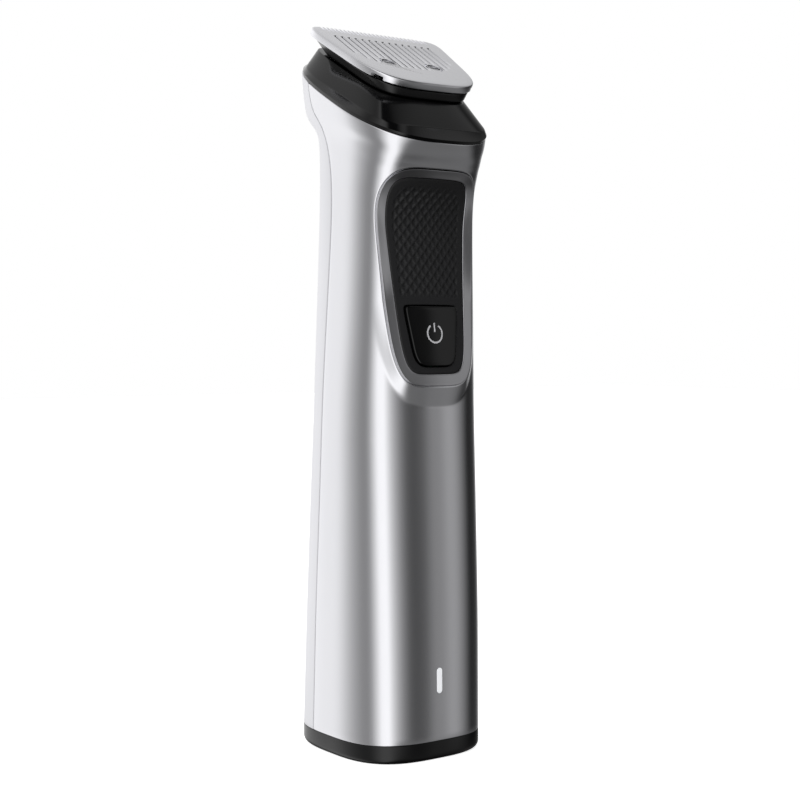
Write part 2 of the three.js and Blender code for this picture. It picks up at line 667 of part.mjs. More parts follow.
const handle = new THREE.Group();
handle.add(
  piece('front_shell', frontShell(), 'steel_shell'),
  piece('back_shell', backShell(), 'silver_plastic'),
  piece('base_cap', baseCap(), 'satin_black'),
  piece('base_seal', baseSeal(), 'seal_rubber'),
  piece('charging_socket', chargingSocket(), 'satin_black'),
  piece('socket_pin_left', socketPin(-1), 'brass'),
  piece('socket_pin_right', socketPin(1), 'brass'),
  piece('panel_bezel', panelBezel(), 'satin_grey'),
  piece('grip_panel', gripPanel(), 'soft_black'),
  piece('power_button', powerButton(), 'gloss_black'),
  piece('light_window', lightWindow(), 'light_pipe'),
  piece('chassis', chassis(), 'inner_plastic'),
  piece('motor_can', motorCan(), 'plain_steel'),
  piece('motor_screw_left', motorScrew(-1), 'plain_steel'),
  piece('motor_screw_right', motorScrew(1), 'plain_steel'),
  piece('shaft_seal', shaftSeal(), 'seal_rubber'),
  piece('motor_shaft', motorShaft(), 'plain_steel'),
  piece('eccentric_cam', eccentricCam(), 'brass'),
  piece('battery_cell', batteryCell(), 'cell_wrap'),
  piece('battery_tab_top', batteryTab(BATTERY_TOP + GAP, 1), 'nickel'),
  piece('battery_tab_bottom', batteryTab(BATTERY_BOTTOM - 0.6, -1), 'nickel'),
  piece('circuit_board', circuitBoard(), 'board_green'),
  piece('tact_switch', tactSwitch(), 'satin_black'),
  piece('status_led', statusLed(), 'light_pipe'),
  piece('control_chip', controlChip(), 'satin_black'),
);
trimmer.add(handle);

const head = new THREE.Group();
head.rotation.x = HEAD_TILT;
head.position.copy(HEAD_ORIGIN);
head.add(
  piece('head_collar', headCollar(), 'gloss_black'),
  piece('collar_seal', collarSeal(), 'seal_rubber'),
  piece('head_clip_left', headClip(-1), 'plain_steel'),
  piece('head_clip_right', headClip(1), 'plain_steel'),
  piece('head_housing', headHousing(), 'satin_black'),
  piece('blade_spring', bladeSpring(), 'plain_steel'),
);
trimmer.add(head);

const blades = new THREE.Group();
blades.rotation.x = BLADE_PITCH;
blades.position.copy(BLADE_ORIGIN);
blades.add(
  piece('guard_blade', guardBlade(), 'blade_steel'),
  piece('blade_screw_left', bladeScrew(-1), 'plain_steel'),
  piece('blade_screw_right', bladeScrew(1), 'plain_steel'),
  piece('cutter_blade', cutterBlade(), 'blade_steel'),
  piece('cutter_carrier', cutterCarrier(), 'satin_black'),
);
head.add(blades);

export default trimmer;
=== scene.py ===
"""The looks of a cordless beard trimmer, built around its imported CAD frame.

Shapes are worked out in millimetres, in the frame of the CAD model, and become metres when a
mesh is made. +Z is up the handle, -Y is its front. The detachable head has a frame of its own,
tilted forward with the handle's rim.
"""

import json
import math

import bmesh
import bpy
import numpy as np
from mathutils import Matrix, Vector


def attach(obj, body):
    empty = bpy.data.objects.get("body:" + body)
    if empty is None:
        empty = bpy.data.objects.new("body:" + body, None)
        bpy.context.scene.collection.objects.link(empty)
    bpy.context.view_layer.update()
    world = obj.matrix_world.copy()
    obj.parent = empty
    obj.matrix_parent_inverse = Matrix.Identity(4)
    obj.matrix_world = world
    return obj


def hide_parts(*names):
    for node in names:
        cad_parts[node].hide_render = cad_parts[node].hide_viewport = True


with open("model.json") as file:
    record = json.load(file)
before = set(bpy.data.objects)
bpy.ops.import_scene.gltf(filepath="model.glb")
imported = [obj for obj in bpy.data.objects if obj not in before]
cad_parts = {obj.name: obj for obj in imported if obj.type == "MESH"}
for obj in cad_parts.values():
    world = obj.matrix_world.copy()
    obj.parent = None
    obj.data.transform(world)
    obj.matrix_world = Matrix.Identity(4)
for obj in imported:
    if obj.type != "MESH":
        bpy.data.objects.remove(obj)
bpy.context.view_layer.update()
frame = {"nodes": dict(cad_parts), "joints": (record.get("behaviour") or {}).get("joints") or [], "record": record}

MM = 0.001
MAIN = bpy.context.scene.collection

# ------------------------------------------------------------------ driving dimensions, in mm

# The handle's cross-sections, bottom to top:
# front height, front y, back height, back y, half width, squareness.
SECTIONS = np.array([
    [4.5, -18.4, 4.5, 19.5, 17.7, 3.0],
    [20, -18.2, 20, 18.6, 17.65, 3.0],
    [33, -17.95, 33, 17.8, 17.6, 3.0],
    [56, -17.2, 56, 16.3, 17.35, 3.0],
    [79, -16.45, 79, 14.8, 17.0, 3.0],
    [102, -16.1, 102, 13.6, 16.2, 3.3],
    [118, -16.0, 121, 12.8, 15.8, 3.4],
    [125, -16.35, 132, 12.4, 15.9, 3.4],
    [129.5, -17.4, 139, 12.4, 16.2, 3.4],
    [131.8, -18.4, 142.5, 13.7, 16.4, 3.4],
    [133.6, -19.4, 146.2, 17.7, 16.85, 3.3],
    [135, -20.1, 150.5, 19.2, 17.7, 3.05],
    [136.2, -20.75, 158.6, 20.75, 18.5, 2.8],
])
LAST = len(SECTIONS) - 1
RIM = SECTIONS[LAST]
# The back half of the sections grows rounder from this section up to the rim.
ROUNDING_START = 8
BACK_ROUNDING = 0.3
# The line where the two shells meet, seen from the side: y and height.
SEAM = [(6.6, 0), (5.3, 33), (4.0, 60), (2.7, 95), (1.1, 128), (3.4, 140.6), (7.2, 149), (8, 175)]

SHELL_FOOT = SECTIONS[0][0]
WALL = 1.4
SEAM_GAP = 0.14
CAP_GAP = 0.15
SHELL_EDGE = 0.15

# The front shell's opening for the panel, and the height at which the plain band below meets the
# patch of rings round it.
OPENING_EDGE = 0.4
OPENING_DEPTH = 1.0
OPENING_WALL = 0.6
BAND_SPLIT = 72.0
RING_CROWDING = 1.7

# The base cap: its rounded lower edge, the spigot inside the shells, and the inlet's opening.
CAP_ROUNDING = 1.5
CAP_SPIGOT_INSET = 2.2
CAP_SPIGOT_TOP = 8.8
INLET = (10.8, 7.8)

# The scooped recess: a height and the y there, the slope and bow of its curve, the height from
# which it curls out towards the flare, how fast it does, how much more it bends across up there,
# and how flat it is from side to side.
RECESS = dict(height=88, y=-17, slope=0.163, bow=0.00149, flare=117, curl=0.0265, pinch=0.008,
              crown=160)

# Rounded outlines: centre, half height, half width at the centre, its growth towards the far
# end, and the squareness of the far and near ends.
BEZEL = dict(centre=107.1, half=23.7, width=12.5, taper=1.8, far=5, near=5)
GRIP = dict(centre=107.5, half=21.5, width=9.9, taper=1.6, far=7, near=6.5)
LIP = dict(centre=107.1, half=28.6, width=14.4, taper=1.2, far=5, near=3.2)
BUTTON = dict(centre=94.4, half=6.6, width=6.3, taper=0.95, far=14, near=5)
PLATE = dict(centre=0.85, half=14.5, width=16.3, taper=2.1, far=9, near=3.5)
COLLAR_EDGE = dict(centre=2.6, half=16.2, width=13.3, taper=0.2, far=6, near=4)
HOUSING_BASE = dict(centre=1, half=14.3, width=13.1, taper=0.1, far=7, near=4)
HOUSING_DECK = dict(centre=0.6, half=14, width=15.5, taper=1.8, far=9, near=3.5)
THROAT = dict(centre=1.2, half=12.4, width=11.6, taper=0.3, far=6, near=4)
BAND_EDGE = dict(centre=0, half=19.3, width=16.7, taper=1.4, far=3.5, near=7.4)

# The panel's pieces, measured from the recess: how far they reach behind it, how the bezel fits
# and slopes, the grip's crossed raised lines, and how proud the button stands.
PANEL_DEPTH = 2.2
BEZEL_GAP = 0.03
BEZEL_PROUD = 0.1
BEZEL_SLOPE = 1.2
DIAMOND = (2.2, 2.6)
RELIEF = 0.28
RELIEF_START = 102.8
GRIP_SINK = 0.1
GRIP_EDGE = 0.25
GRIP_STEP = 0.155
BUTTON_PROUD = 0.45

# The power sign on the button: height, ring radius, half a line's width, half the opening's angle.
SYMBOL_Z = 94.95
SYMBOL_RADIUS = 2.0
SYMBOL_LINE = 0.19
SYMBOL_OPENING = 32

WINDOW_Z = 17.8
WINDOW_RADIUS = 0.76
WINDOW_HEIGHT = 5.8

# Head heights above the rim plane.
COLLAR_FOOT = -4.5
BAND_TOP = 2.0
COLLAR_TOP = 5.8
HOUSING_TOP = 9.1
PLATE_TOP = 11.0
FLANGE_DEPTH = 1.6
PLATE_THICKNESS = 0.6

# How much smaller than the collar's throat the head's spigot is, and the wall of that spigot.
THROAT_GAP = 1.15
SPIGOT_WALL = 1.45
SPIGOT_FOOT = -1

# The tray in the deck that the cutter slides in: its size, middle and floor.
TRAY = (21.6, 11.6)
TRAY_Y = 5.4
TRAY_FLOOR = 7.2

# The steel plate's pattern, in the blade's own frame.
SCREW_X = 6.35
SCREW_Y = -2.8
SCREW_CLEARANCE = 2.5
SLOTS = 15
SLOT_PITCH = 1.87
SLOT_WIDTH = 0.6
SLOT_RADIUS = 0.24
SLOT_CHAMFER = 0.26
SLOT_BACK = 10.1
TEETH = 26
TOOTH_PITCH = 1.14
TOOTH_GAP = 0.62
TOOTH_ROOT = 12.9
TOOTH_CUT = 5
EDGE_RELIEF = (29.6, 7)
EDGE_RELIEF_Y = 15.9
NOTCH = (6.2, 3)
NOTCH_X = 14.9
NOTCH_Y = -10
SEAT_RADIUS = 1.55
CRESCENT_INNER = 1.8
CRESCENT_OUTER = 2.15
CRESCENT_SPREAD = 42
# The heights between which the plate's cutters run.
CUT_FOOT = 8
CUT_TOP = 12

# ------------------------------------------------------------------ the two frames

HEAD_AXIS = next(j["axis"] for j in frame["joints"] if j["name"] == "head_release")
HEAD_TILT = math.atan2(-HEAD_AXIS[1], HEAD_AXIS[2])
RIM_CENTRE = ((RIM[1] + RIM[3]) / 2, (RIM[0] + RIM[2]) / 2)
RIM_HALF = math.hypot(RIM[2] - RIM[0], RIM[3] - RIM[1]) / 2
RIM_EDGE = dict(centre=0, half=RIM_HALF, width=RIM[4], taper=0, far=RIM[5] - BACK_ROUNDING,
                near=RIM[5])
BLADE_PITCH = math.radians(2.9)
BLADE_ORIGIN = (0.5, -0.29)


def from_head(points):
    """Points in the head's own frame, taken into the object's frame."""
    c, s = math.cos(HEAD_TILT), math.sin(HEAD_TILT)
    x, y, z = np.moveaxis(np.asarray(points, float), -1, 0)
    return np.stack([x, RIM_CENTRE[0] + c * y - s * z, RIM_CENTRE[1] + s * y + c * z], -1)


def from_blade(points):
    """The blades lean a little further forward inside the head."""
    c, s = math.cos(BLADE_PITCH), math.sin(BLADE_PITCH)
    x, y, z = np.moveaxis(np.asarray(points, float), -1, 0)
    return from_head(np.stack([x, BLADE_ORIGIN[0] + c * y - s * z,
                               BLADE_ORIGIN[1] + s * y + c * z], -1))


# ------------------------------------------------------------------ the handle's form


def curve_between(f, before, start, end, after):
    """The Catmull-Rom curve's point at the share f of the way from start to end."""
    square = (2 * before - 5 * start + 4 * end - after) * f ** 2
    cube = (3 * start - before - 3 * end + after) * f ** 3
    return 0.5 * (2 * start + (end - before) * f + square + cube)


def superellipse(c, s, n):
    """How far a unit superellipse of squareness n reaches in the direction (c, s)."""
    return (np.abs(c) ** n + np.abs(s) ** n) ** (-1 / n)


def section(u):
    """A smooth blend of the listed sections at the positions u."""
    u = np.asarray(u, float)
    i = np.clip(np.floor(u).astype(int), 0, LAST - 1)
    return curve_between((u - i)[..., None],
                         *(SECTIONS[np.clip(i + k, 0, LAST)] for k in (-1, 0, 1, 2)))


def section_frame(u):
    """A section's half depth, middle, direction from front to back, half width, squareness."""
    front_z, front_y, back_z, back_y, width, n = np.moveaxis(section(u), -1, 0)
    depth = np.hypot(back_z - front_z, back_y - front_y) / 2
    middle = (front_y + back_y) / 2, (front_z + back_z) / 2
    along = (back_y - front_y) / depth / 2, (back_z - front_z) / depth / 2
    return depth, middle, along, width, n


def back_squareness(n, u):
    """The squareness of a section's back half."""
    return n - BACK_ROUNDING * np.clip((u - ROUNDING_START) / (LAST - ROUNDING_START), 0, 1) ** 2


def handle_point(angle, u, inset=0.0, lift=0.0):
    """The handle's surface: angle -90 degrees is its front line, +90 its back line."""
    depth, middle, along, width, n = section_frame(u)
    c, s = np.cos(angle), np.sin(angle)
    reach = superellipse(c, s, np.where(s > 0, back_squareness(n, u), n))
    b = (depth - inset) * reach * s
    y = middle[0] + along[0] * b - along[1] * lift
    z = middle[1] + along[1] * b + along[0] * lift
    return np.stack([(width - inset) * reach * c, y, z], -1)


def smooth_path(points, count=400):
    """A smooth curve through the points."""
    points = np.asarray(points, float)
    ends = np.vstack([2 * points[0] - points[1], points, 2 * points[-1] - points[-2]])
    t = np.linspace(0, len(points) - 1 - 1e-9, count)
    i = t.astype(int)
    return curve_between((t - i)[:, None], *(ends[i + k] for k in range(4)))


SEAM_LINE = smooth_path(SEAM)


def seam_angle(u, shift):
    """The angle on the right side at which the shells meet."""
    depth, middle, along, width, n = section_frame(u)
    b = np.zeros_like(depth)
    for _ in range(12):
        z = middle[1] + along[1] * b
        b = (np.interp(z, SEAM_LINE[:, 1], SEAM_LINE[:, 0]) + shift - middle[0]) / along[0]
    share = np.clip(np.abs(b) / depth, 0, 1)
    n = np.where(b > 0, back_squareness(n, u), n)
    return np.arctan2(b / depth, (1 - share ** n) ** (1 / n))


TABLE_U = np.linspace(0, LAST, 1201)
TABLE_HEIGHT = (section(TABLE_U)[:, 0] + section(TABLE_U)[:, 2]) / 2


def level(height):
    """The section whose middle is at the height."""
    return np.interp(height, TABLE_HEIGHT, TABLE_U)


def front_at(x, z):
    """(section position, angle, y) of the handle's front surface above the points (x, z)."""
    x, z = np.broadcast_arrays(np.asarray(x, float), np.asarray(z, float))
    low, high = np.zeros_like(x), np.full_like(x, LAST)
    for _ in range(40):
        u = (low + high) / 2
        depth, middle, along, width, n = section_frame(u)
        share = np.clip(np.abs(x) / width, 0, 1)
        b = -depth * (1 - share ** n) ** (1 / n)
        above = middle[1] + along[1] * b > z
        high = np.where(above, u, high)
        low = np.where(above, low, u)
    angle = np.arctan2(b / depth, x / width)
    return u, angle, middle[0] + along[0] * b


# ------------------------------------------------------------------ outlines and the recess


def outline(shape, count=256, offset=0.0):
    """The outline's points, anticlockwise from its right-hand side."""
    angle = np.linspace(0, 2 * math.pi, count, endpoint=False)
    return outline_at(shape, angle, offset)


def outline_at(shape, angle, offset=0.0):
    """The outline's points at the angles, moved outwards by the offset."""
    def at(a):
        c, s = np.cos(a), np.sin(a)
        reach = superellipse(c, s, np.where(s > 0, shape["far"], shape["near"]))
        v = reach * s
        return np.stack([(shape["width"] + shape["taper"] * v) * reach * c,
                         shape["centre"] + shape["half"] * v], -1)

    step = 1e-3
    tangent = at(angle + step) - at(angle - step)
    normal = np.stack([tangent[..., 1], -tangent[..., 0]], -1)
    normal /= np.linalg.norm(normal, axis=-1, keepdims=True)
    return at(angle) + normal * offset


def shrunk(shape, inset):
    """The outline made smaller all round."""
    return dict(shape, half=shape["half"] - inset, width=shape["width"] - inset)


def outline_level(shape, x, z):
    """1 on the outline, less inside it."""
    v = (z - shape["centre"]) / shape["half"]
    n = np.where(v > 0, shape["far"], shape["near"])
    across = np.abs(x) / np.maximum(shape["width"] + shape["taper"] * np.clip(v, -1.3, 1.3), 1)
    return (across ** n + np.abs(v) ** n) ** (1 / n)


def recess_y(x, z):
    """The scooped surface that the bezel, grip and button share."""
    up = z - RECESS["height"]
    curl = np.maximum(0, z - RECESS["flare"]) ** 2
    scoop = RECESS["y"] + RECESS["slope"] * up - RECESS["bow"] * up ** 2 - RECESS["curl"] * curl
    return scoop + x ** 2 * (1 + RECESS["pinch"] * curl) / RECESS["crown"]


def lip_height(x, z):
    """How far the front shell rises round the lower end of the bezel."""
    size = np.maximum(outline_level(BEZEL, x, z), 0.5)
    edge_x = x / size
    edge_z = BEZEL["centre"] + (z - BEZEL["centre"]) / size
    proud = np.maximum(0, front_at(edge_x, edge_z)[2] - recess_y(edge_x, edge_z))
    inside = 1 - outline_level(LIP, x, z)
    inside_at_edge = np.maximum(1 - outline_level(LIP, edge_x, edge_z), 0.02)
    plane = proud * inside / inside_at_edge
    soft = 0.05 * np.minimum(1, proud / 0.4)
    rise = 0.5 * (plane + np.sqrt(plane ** 2 + soft ** 2))
    return np.where(proud > 0, rise, 0)


# ------------------------------------------------------------------ mesh tools


def strip(rows, closed=True):
    """Quads over rows of vertex numbers."""
    faces = []
    for low, high in zip(rows, rows[1:]):
        count = len(low)
        for i in range(count if closed else count - 1):
            j = (i + 1) % count
            faces.append((low[i], low[j], high[j], high[i]))
    return faces


def ring_numbers(rings):
    """The vertex numbers of each ring or row."""
    count = len(rings[0])
    return [list(range(k * count, (k + 1) * count)) for k in range(len(rings))]


def skin(rings):
    """Vertices and faces of a loft over closed rings, capped flat at both ends."""
    rows = ring_numbers(rings)
    ends = [tuple(reversed(rows[0])), tuple(rows[-1])]
    return np.concatenate(rings), strip(rows) + ends


def loop_skin(rings):
    """A ring-shaped solid: the last ring joins the first."""
    rows = ring_numbers(rings)
    return np.concatenate(rings), strip(rows + [rows[0]])


def rounded(keys, radii, steps=4):
    """Rings through the keys, with the corner at each key rounded by its radius."""
    rings = [keys[0]]
    for before, here, after, radius in zip(keys, keys[1:], keys[2:], radii):
        if radius <= 0:
            rings.append(here)
            continue
        arms = []
        for other in (before, after):
            way = other - here
            length = np.linalg.norm(way, axis=-1, keepdims=True)
            arms.append(here + way * np.minimum(radius / np.maximum(length, 1e-9), 0.48))
        for t in np.linspace(0, 1, steps + 1):
            rings.append((1 - t) ** 2 * arms[0] + 2 * t * (1 - t) * here + t ** 2 * arms[1])
    rings.append(keys[-1])
    return rings


def vertex_normals(points, faces):
    """The direction square to the sheet at each vertex."""
    normals = np.zeros_like(points)
    for face in faces:
        a, b, c, d = (points[i] for i in face)
        square = np.cross(c - a, d - b)
        for i in face:
            normals[i] += square
    return normals / np.linalg.norm(normals, axis=1, keepdims=True)


def open_edges(faces):
    """Closed loops of the vertices along a sheet's open edges, in the faces' own direction."""
    following = {}
    for face in faces:
        for a, b in zip(face, face[1:] + face[:1]):
            if a in following.get(b, ()):
                following[b].remove(a)
            else:
                following.setdefault(a, []).append(b)
    following = {a: ends[0] for a, ends in following.items() if ends}
    loops = []
    while following:
        start = next(iter(following))
        loop, here = [], start
        while here in following:
            loop.append(here)
            here = following.pop(here)
        loops.append(loop)
    return loops


def thick_shell(points, faces, deep_wall=None):
    """Closes an open sheet into a shell with rounded edges. deep_wall(x, z) gives the y that the
    wall of the second, inner opening reaches back to."""
    normals = vertex_normals(points, faces)
    count = len(points)
    all_points = [points, points - normals * WALL]
    all_faces = list(faces) + [tuple(reversed([i + count for i in f])) for f in faces]
    total = 2 * count
    loops = sorted(open_edges(faces), key=len, reverse=True)
    longest = max(loops, key=lambda loop: np.ptp(points[loop][:, 2]))
    for loop in loops:
        here = points[loop]
        way = np.roll(here, -1, 0) - np.roll(here, 1, 0)
        out = np.cross(way, normals[loop])
        out /= np.linalg.norm(out, axis=1, keepdims=True)
        inner = deep_wall is not None and loop is not longest
        radius = OPENING_EDGE if inner else SHELL_EDGE
        rows = [loop]
        for angle in np.linspace(0, math.pi / 2, 5)[1:]:
            drop = radius * (1 - math.cos(angle))
            all_points.append(here + out * radius * math.sin(angle) - normals[loop] * drop)
            rows.append(list(range(total, total + len(loop))))
            total += len(loop)
        foot = all_points[-1] - normals[loop] * (WALL - radius)
        if inner:
            foot = all_points[-1].copy()
            foot[:, 1] = np.maximum(deep_wall(foot[:, 0], foot[:, 2]), foot[:, 1] + OPENING_WALL)
        all_points.append(foot)
        rows.append(list(range(total, total + len(loop))))
        total += len(loop)
        rows.append([i + count for i in loop])
        all_faces += [tuple(reversed(f)) for f in strip(rows)]
    return np.concatenate(all_points), all_faces


def mesh_object(name, solid, material, sharp=35):
    """A smooth-shaded object from a solid's vertices, in mm, and faces."""
    points, faces = solid
    mesh = bpy.data.meshes.new(name)
    mesh.from_pydata((np.asarray(points) * MM).tolist(), [], [tuple(map(int, f)) for f in faces])
    mesh.validate()
    bm = bmesh.new()
    bm.from_mesh(mesh)
    bmesh.ops.recalc_face_normals(bm, faces=bm.faces)
    bm.to_mesh(mesh)
    bm.free()
    mesh.shade_smooth()
    mesh.set_sharp_from_angle(angle=math.radians(sharp))
    mesh.materials.append(material)
    thing = bpy.data.objects.new(name, mesh)
    MAIN.objects.link(thing)
    return thing


def piece(name, solid, slot, body, node=None, sharp=35, material=None):
    """A visible piece that rides on a body and stands in for a CAD node."""
    thing = mesh_object(name, solid, MATERIALS[material or slot], sharp)
    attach(thing, body)
    if node:
        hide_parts(node)
    return thing


def cut(thing, cutters, operation="DIFFERENCE", sharp=35):
    """Cuts scratch solids out of a piece, then removes them."""
    for cutter in cutters:
        tool = mesh_object("cutter", cutter, thing.data.materials[0])
        modifier = thing.modifiers.new("cut", "BOOLEAN")
        modifier.object = tool
        modifier.operation = operation
        modifier.solver = "EXACT"
        graph = bpy.context.evaluated_depsgraph_get()
        mesh = bpy.data.meshes.new_from_object(thing.evaluated_get(graph))
        thing.modifiers.clear()
        old, scratch = thing.data, tool.data
        thing.data = mesh
        bpy.data.objects.remove(tool)
        bpy.data.meshes.remove(old)
        bpy.data.meshes.remove(scratch)
    thing.data.set_sharp_from_angle(angle=math.radians(sharp))


def rounded_corners(width, depth, radius, centre, steps=4):
    """A rectangle with rounded corners."""
    corners = []
    for quarter in range(4):
        for angle in np.linspace(0, math.pi / 2, steps + 1) + quarter * math.pi / 2:
            sx = 1 if quarter in (0, 3) else -1
            sy = 1 if quarter < 2 else -1
            corners.append((sx * (width / 2 - radius) + radius * math.cos(angle) + centre[0],
                            sy * (depth / 2 - radius) + radius * math.sin(angle) + centre[1]))
    return np.array(corners)


def rounded_box(width, depth, z0, z1, radius, centre=(0, 0), steps=4):
    """An upright prism with rounded corners."""
    corners = rounded_corners(width, depth, radius, centre, steps)
    return skin([np.column_stack([corners, np.full(len(corners), z)]) for z in (z0, z1)])


def prism(xz, y0, y1):
    """A front-view outline run from y0 to y1."""
    rings = [np.column_stack([xz[:, 0], np.full(len(xz), y), xz[:, 1]]) for y in (y1, y0)]
    return skin(rings)


def merged(solids):
    """Several separate solids as one vertex and face list."""
    points, faces, offset = [], [], 0
    for more_points, more_faces in solids:
        points.append(np.asarray(more_points, float))
        faces += [tuple(i + offset for i in face) for face in more_faces]
        offset += len(more_points)
    return np.concatenate(points), faces


# ------------------------------------------------------------------ materials


class NodeTree:
    """Adds the nodes of a material or of the world, and links them."""

    def __init__(self, tree):
        self.tree = tree

    def add(self, kind, **settings):
        node = self.tree.nodes.new(kind)
        for key, value in settings.items():
            if key in node.inputs:
                node.inputs[key].default_value = value
            else:
                setattr(node, key, value)
        return node

    def link(self, output, target):
        self.tree.links.new(output, target)

    def ranged(self, value, start, end, low=0.0, high=1.0, ease="LINEAR"):
        """The value taken from low..high to start..end."""
        node = self.add("ShaderNodeMapRange", interpolation_type=ease)
        limits = {"From Min": low, "From Max": high, "To Min": start, "To Max": end}
        for key, number in limits.items():
            node.inputs[key].default_value = number
        self.link(value, node.inputs["Value"])
        return node.outputs["Result"]


class Nodes(NodeTree):
    """A procedural material round one Principled shader."""

    def __init__(self, name):
        self.material = bpy.data.materials.new(name)
        self.material.use_nodes = True
        super().__init__(self.material.node_tree)
        self.shader = self.tree.nodes["Principled BSDF"]

    def place(self, scale):
        """Object coordinates stretched by a scale on each axis, per metre."""
        where = self.add("ShaderNodeTexCoord")
        mapping = self.add("ShaderNodeMapping")
        mapping.inputs["Scale"].default_value = scale
        self.link(where.outputs["Object"], mapping.inputs["Vector"])
        return mapping.outputs["Vector"]

    def noise(self, scale, detail):
        """Grain, stretched by a scale on each axis."""
        noise = self.add("ShaderNodeTexNoise", Scale=1.0, Detail=detail, Roughness=0.55)
        self.link(self.place(scale), noise.inputs["Vector"])
        return noise.outputs["Fac"]

    def tint(self, value, dark, light):
        """A colour between dark and light."""
        node = self.add("ShaderNodeMix", data_type="RGBA")
        self.link(value, node.inputs["Factor"])
        for socket in node.inputs:
            if socket.type == "RGBA":
                socket.default_value = (*dark, 1) if socket.name == "A" else (*light, 1)
        return next(s for s in node.outputs if s.type == "RGBA")

    def bump(self, height, strength, distance):
        """Fine relief on the surface."""
        node = self.add("ShaderNodeBump", Strength=strength, Distance=distance)
        self.link(height, node.inputs["Height"])
        self.link(node.outputs["Normal"], self.shader.inputs["Normal"])

    def glow(self, color, strength):
        self.shader.inputs["Emission Color"].default_value = (*color, 1)
        self.shader.inputs["Emission Strength"].default_value = strength

    def finish(self, color, roughness, metallic=0.0):
        """The finished material."""
        self.shader.inputs["Metallic"].default_value = metallic
        self.link(color, self.shader.inputs["Base Color"])
        self.link(roughness, self.shader.inputs["Roughness"])
        return self.material


def grey(value):
    """A metal tone with a cool cast."""
    return (value * 0.985, value * 0.985, min(value * 1.02, 1))


def brushed_metal(name, tone, roughness, grain, depth):
    """Metal with fine lines along the handle and faint larger clouds."""
    nodes = Nodes(name)
    lines = nodes.noise(grain, detail=3)
    clouds = nodes.noise((60, 60, 25), detail=2)
    color = nodes.tint(lines, grey(tone * 0.96), grey(min(tone * 1.03, 1)))
    rough = nodes.ranged(clouds, roughness * 0.9, roughness * 1.1)
    nodes.bump(lines, depth, 0.00002)
    return nodes.finish(color, rough, 1.0)


def moulded(name, tone, roughness, depth=0.08):
    """Plastic or rubber with a fine even grain and a little variation in gloss."""
    nodes = Nodes(name)
    fine = nodes.noise((9000, 9000, 9000), detail=2)
    wear = nodes.noise((120, 120, 90), detail=3)
    color = nodes.tint(wear, tuple(c * 0.9 for c in tone), tuple(min(c * 1.12, 1) for c in tone))
    rough = nodes.ranged(wear, roughness * 0.88, roughness * 1.12)
    nodes.bump(fine, depth, 0.00003)
    return nodes.finish(color, rough)


def lit_plastic(name, strength):
    """A frosted light pipe that glows softly."""
    nodes = Nodes(name)
    soft = nodes.noise((900, 900, 500), detail=1)
    color = nodes.tint(soft, (0.9, 0.92, 0.95), (0.97, 0.98, 1.0))
    rough = nodes.ranged(soft, 0.3, 0.36)
    nodes.glow((0.95, 0.97, 1.0), strength)
    return nodes.finish(color, rough)


def brass(name):
    """Brass with fine turning lines."""
    nodes = Nodes(name)
    turned = nodes.noise((200, 200, 12000), detail=2)
    color = nodes.tint(turned, (0.6, 0.45, 0.2), (0.78, 0.62, 0.32))
    rough = nodes.ranged(turned, 0.25, 0.38)
    nodes.bump(turned, 0.1, 0.00002)
    return nodes.finish(color, rough, 1.0)


VERTICAL_GRAIN = (9000, 9000, 220)
EVEN_GRAIN = (5000, 5000, 5000)

MATERIALS = {
    "metal_shell": brushed_metal("metal_shell", 0.84, 0.2, VERTICAL_GRAIN, 0.04),
    "silver_shell": brushed_metal("silver_shell", 0.86, 0.4, EVEN_GRAIN, 0.03),
    "satin_grey": brushed_metal("satin_grey", 0.72, 0.28, EVEN_GRAIN, 0.03),
    "soft_grip": moulded("soft_grip", (0.012, 0.012, 0.013), 0.5),
    "gloss_black": moulded("gloss_black", (0.003, 0.003, 0.0032), 0.12, depth=0.01),
    "satin_black": moulded("satin_black", (0.005, 0.005, 0.0054), 0.24, depth=0.04),
    "blade_steel": brushed_metal("blade_steel", 0.95, 0.25, (3000, 9000, 9000), 0.04),
    "plain_steel": brushed_metal("plain_steel", 0.55, 0.32, EVEN_GRAIN, 0.04),
    "contact_brass": brass("contact_brass"),
    "seal_rubber": moulded("seal_rubber", (0.03, 0.03, 0.03), 0.7),
    "inner_plastic": moulded("inner_plastic", (0.045, 0.046, 0.05), 0.5),
    "cell_wrap": moulded("cell_wrap", (0.05, 0.22, 0.4), 0.35),
    "circuit_board": moulded("circuit_board", (0.02, 0.13, 0.06), 0.45),
    "light_window": lit_plastic("light_window", 0.3),
    "symbol_ink": moulded("symbol_ink", (0.62, 0.62, 0.64), 0.5),
}


def dress_frame():
    """Gives every CAD node the procedural material of its slot."""
    for part in frame["record"]["subparts"]:
        thing = frame["nodes"][part["node"]]
        thing.data.materials.clear()
        thing.data.materials.append(MATERIALS[part["material_slot"]])


# ------------------------------------------------------------------ handle


ACROSS, UP, OUT = 84, 60, 44
FRONT_SHIFT = -SEAM_GAP / 2 - SHELL_EDGE
BACK_SHIFT = SEAM_GAP / 2 + SHELL_EDGE


def front_surface(t, height):
    """The front shell from its left seam at t = 0 to its right seam at t = 1, with the lip."""
    u = level(height)
    seam = seam_angle(u, FRONT_SHIFT)
    point = handle_point(math.pi - seam + t * (math.pi + 2 * seam), u)
    point[..., 1] -= lip_height(point[..., 0], point[..., 2])
    return point


def patch_sides():
    """(t, height) along the four sides of the patch round the panel."""
    top = TABLE_HEIGHT[-1]
    k, r = np.linspace(0, 1, ACROSS, endpoint=False), np.linspace(0, 1, UP, endpoint=False)
    sides = [
        (k, np.full(ACROSS, BAND_SPLIT)),
        (np.ones(UP), BAND_SPLIT + r * (top - BAND_SPLIT)),
        (1 - k, np.full(ACROSS, top)),
        (np.zeros(UP), top - r * (top - BAND_SPLIT)),
    ]
    return np.concatenate([t for t, _ in sides]), np.concatenate([h for _, h in sides])


